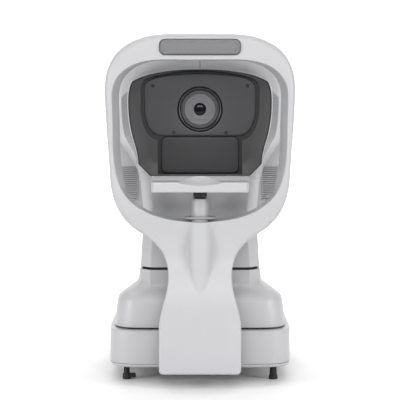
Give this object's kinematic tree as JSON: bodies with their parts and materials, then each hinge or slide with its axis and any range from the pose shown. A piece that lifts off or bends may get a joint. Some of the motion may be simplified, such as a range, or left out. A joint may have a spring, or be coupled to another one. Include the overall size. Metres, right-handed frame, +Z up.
{
  "type": "autorefractor keratometer",
  "caption": "Table-top eye-measuring instrument with a face frame, lifting chin rest, measuring head on a sliding stage, joystick and tilting operator display.",
  "frame": {"origin": "On the table, under the middle of the instrument's bounding box at rest.", "axes": "+Z up; +X across, to the right of someone looking into the window; +Y from the patient towards the operator."},
  "size_m": [0.252, 0.48, 0.4745],
  "materials": {
    "white_shell": "satin moulded off-white",
    "soft_grey": "matt grey silicone",
    "dark_trim": "satin dark grey moulded",
    "black_trim": "satin black moulded",
    "foot_rubber": "matt black rubber",
    "bright_steel": "ground and polished",
    "cast_alloy": "bead-blasted casting",
    "coated_glass": "coated optical glass",
    "screen_glass": "anti-glare cover glass",
    "circuit_board": "solder-masked board",
    "thermal_paper": "coated thermal paper"
  },
  "bodies": {
    "root": {"face_frame": "white_shell", "neck_rear_cover": "white_shell", "forehead_pad": "soft_grey", "post_collar": "white_shell", "chin_lift_actuator": "black_trim", "base_tray": "white_shell", "base_cover": "white_shell", "foot_front_right": "foot_rubber", "foot_rear_left": "foot_rubber", "foot_rear_right": "foot_rubber", "y_rail_left": "bright_steel", "y_rail_right": "bright_steel", "power_supply": "cast_alloy", "control_board": "circuit_board", "power_inlet": "black_trim"},
    "chin_rest": {"chin_plate": "white_shell", "chin_cup": "white_shell", "chin_bracket": "black_trim", "chin_post": "bright_steel"},
    "levelling_foot": {"levelling_foot": "foot_rubber"},
    "power_switch": {"power_switch": "black_trim"},
    "y_carriage": {"y_carriage": "cast_alloy", "x_rail_front": "bright_steel", "x_rail_rear": "bright_steel"},
    "stage": {"stage_chassis": "cast_alloy", "stage_cover": "white_shell", "column_liner": "black_trim", "lift_column": "cast_alloy", "lift_actuator": "black_trim", "joystick_socket": "black_trim"},
    "stage_lock": {"stage_lock_knob": "black_trim"},
    "chin_up_button": {"chin_up_button": "dark_trim"},
    "chin_down_button": {"chin_down_button": "dark_trim"},
    "joystick_gimbal": {"joystick_gimbal": "bright_steel"},
    "joystick": {"joystick_lever": "bright_steel", "joystick_grip": "black_trim"},
    "joystick_ring": {"joystick_ring": "dark_trim"},
    "joystick_button": {"joystick_button": "soft_grey"},
    "head": {"head_shell_left": "white_shell", "head_shell_right": "white_shell", "vent_grille_left": "soft_grey", "vent_grille_right": "soft_grey", "head_rear_panel": "white_shell", "head_chassis": "cast_alloy", "lift_rod": "bright_steel", "optical_bench": "cast_alloy", "optical_tube": "black_trim", "window_bezel": "dark_trim", "window_well": "black_trim", "measuring_face": "dark_trim", "lower_block": "black_trim", "lens_ring": "black_trim", "lens_disc": "dark_trim", "objective_lens": "coated_glass", "printer_housing": "dark_trim", "display_pin": "bright_steel"},
    "display": {"display_housing": "white_shell", "display_glass": "screen_glass"},
    "printer_door": {"printer_door": "white_shell"},
    "paper_roll": {"paper_roll": "thermal_paper"}
  },
  "joints": [
    {"name": "chin_lift", "type": "slide", "parent": "root", "child": "chin_rest", "axis": [0, 0, 1], "range_m": [-0.02, 0.045]},
    {"name": "foot_turn", "type": "hinge", "parent": "root", "child": "levelling_foot", "pos_m": [-0.102, -0.125, 0.01], "axis": [0, 0, 1], "range_deg": [-60, 60]},
    {"name": "switch_rock", "type": "hinge", "parent": "root", "child": "power_switch", "pos_m": [-0.026, 0.217, 0.053], "axis": [1, 0, 0], "range_deg": [-6, 6]},
    {"name": "stage_y", "type": "slide", "parent": "root", "child": "y_carriage", "axis": [0, 1, 0], "range_m": [-0.02, 0.02]},
    {"name": "stage_x", "type": "slide", "parent": "y_carriage", "child": "stage", "axis": [1, 0, 0], "range_m": [-0.043, 0.043]},
    {"name": "lock_turn", "type": "hinge", "parent": "stage", "child": "stage_lock", "pos_m": [0.055, 0.19, 0.138], "axis": [0, 0, 1], "range_deg": [0, 90]},
    {"name": "chin_up_press", "type": "slide", "parent": "stage", "child": "chin_up_button", "axis": [0, 0, 1], "range_m": [-0.0015, 0], "stiffness_N_per_m": 500, "springref_m": 0.002},
    {"name": "chin_down_press", "type": "slide", "parent": "stage", "child": "chin_down_button", "axis": [0, 0, 1], "range_m": [-0.0015, 0], "stiffness_N_per_m": 500, "springref_m": 0.002},
    {"name": "stick_fore", "type": "hinge", "parent": "stage", "child": "joystick_gimbal", "pos_m": [0, 0.19, 0.143], "axis": [1, 0, 0], "range_deg": [-10, 10]},
    {"name": "stick_side", "type": "hinge", "parent": "joystick_gimbal", "child": "joystick", "pos_m": [0, 0.19, 0.143], "axis": [0, 1, 0], "range_deg": [-10, 10]},
    {"name": "ring_turn", "type": "hinge", "parent": "joystick", "child": "joystick_ring", "pos_m": [0, 0.19, 0.161], "axis": [0, 0, 1], "continuous": true},
    {"name": "stick_press", "type": "slide", "parent": "joystick", "child": "joystick_button", "axis": [0, 0, 1], "range_m": [-0.002, 0], "stiffness_N_per_m": 500, "springref_m": 0.002},
    {"name": "head_lift", "type": "slide", "parent": "stage", "child": "head", "axis": [0, 0, 1], "range_m": [-0.002, 0.028]},
    {"name": "display_tilt", "type": "hinge", "parent": "head", "child": "display", "pos_m": [0, 0.129, 0.452], "axis": [1, 0, 0], "range_deg": [0, 45]},
    {"name": "door_open", "type": "hinge", "parent": "head", "child": "printer_door", "pos_m": [0, 0.1203, 0.253], "axis": [-1, 0, 0], "range_deg": [0, 85]},
    {"name": "roll_spin", "type": "hinge", "parent": "head", "child": "paper_roll", "pos_m": [0, 0.092, 0.279], "axis": [1, 0, 0], "continuous": true}
  ]
}
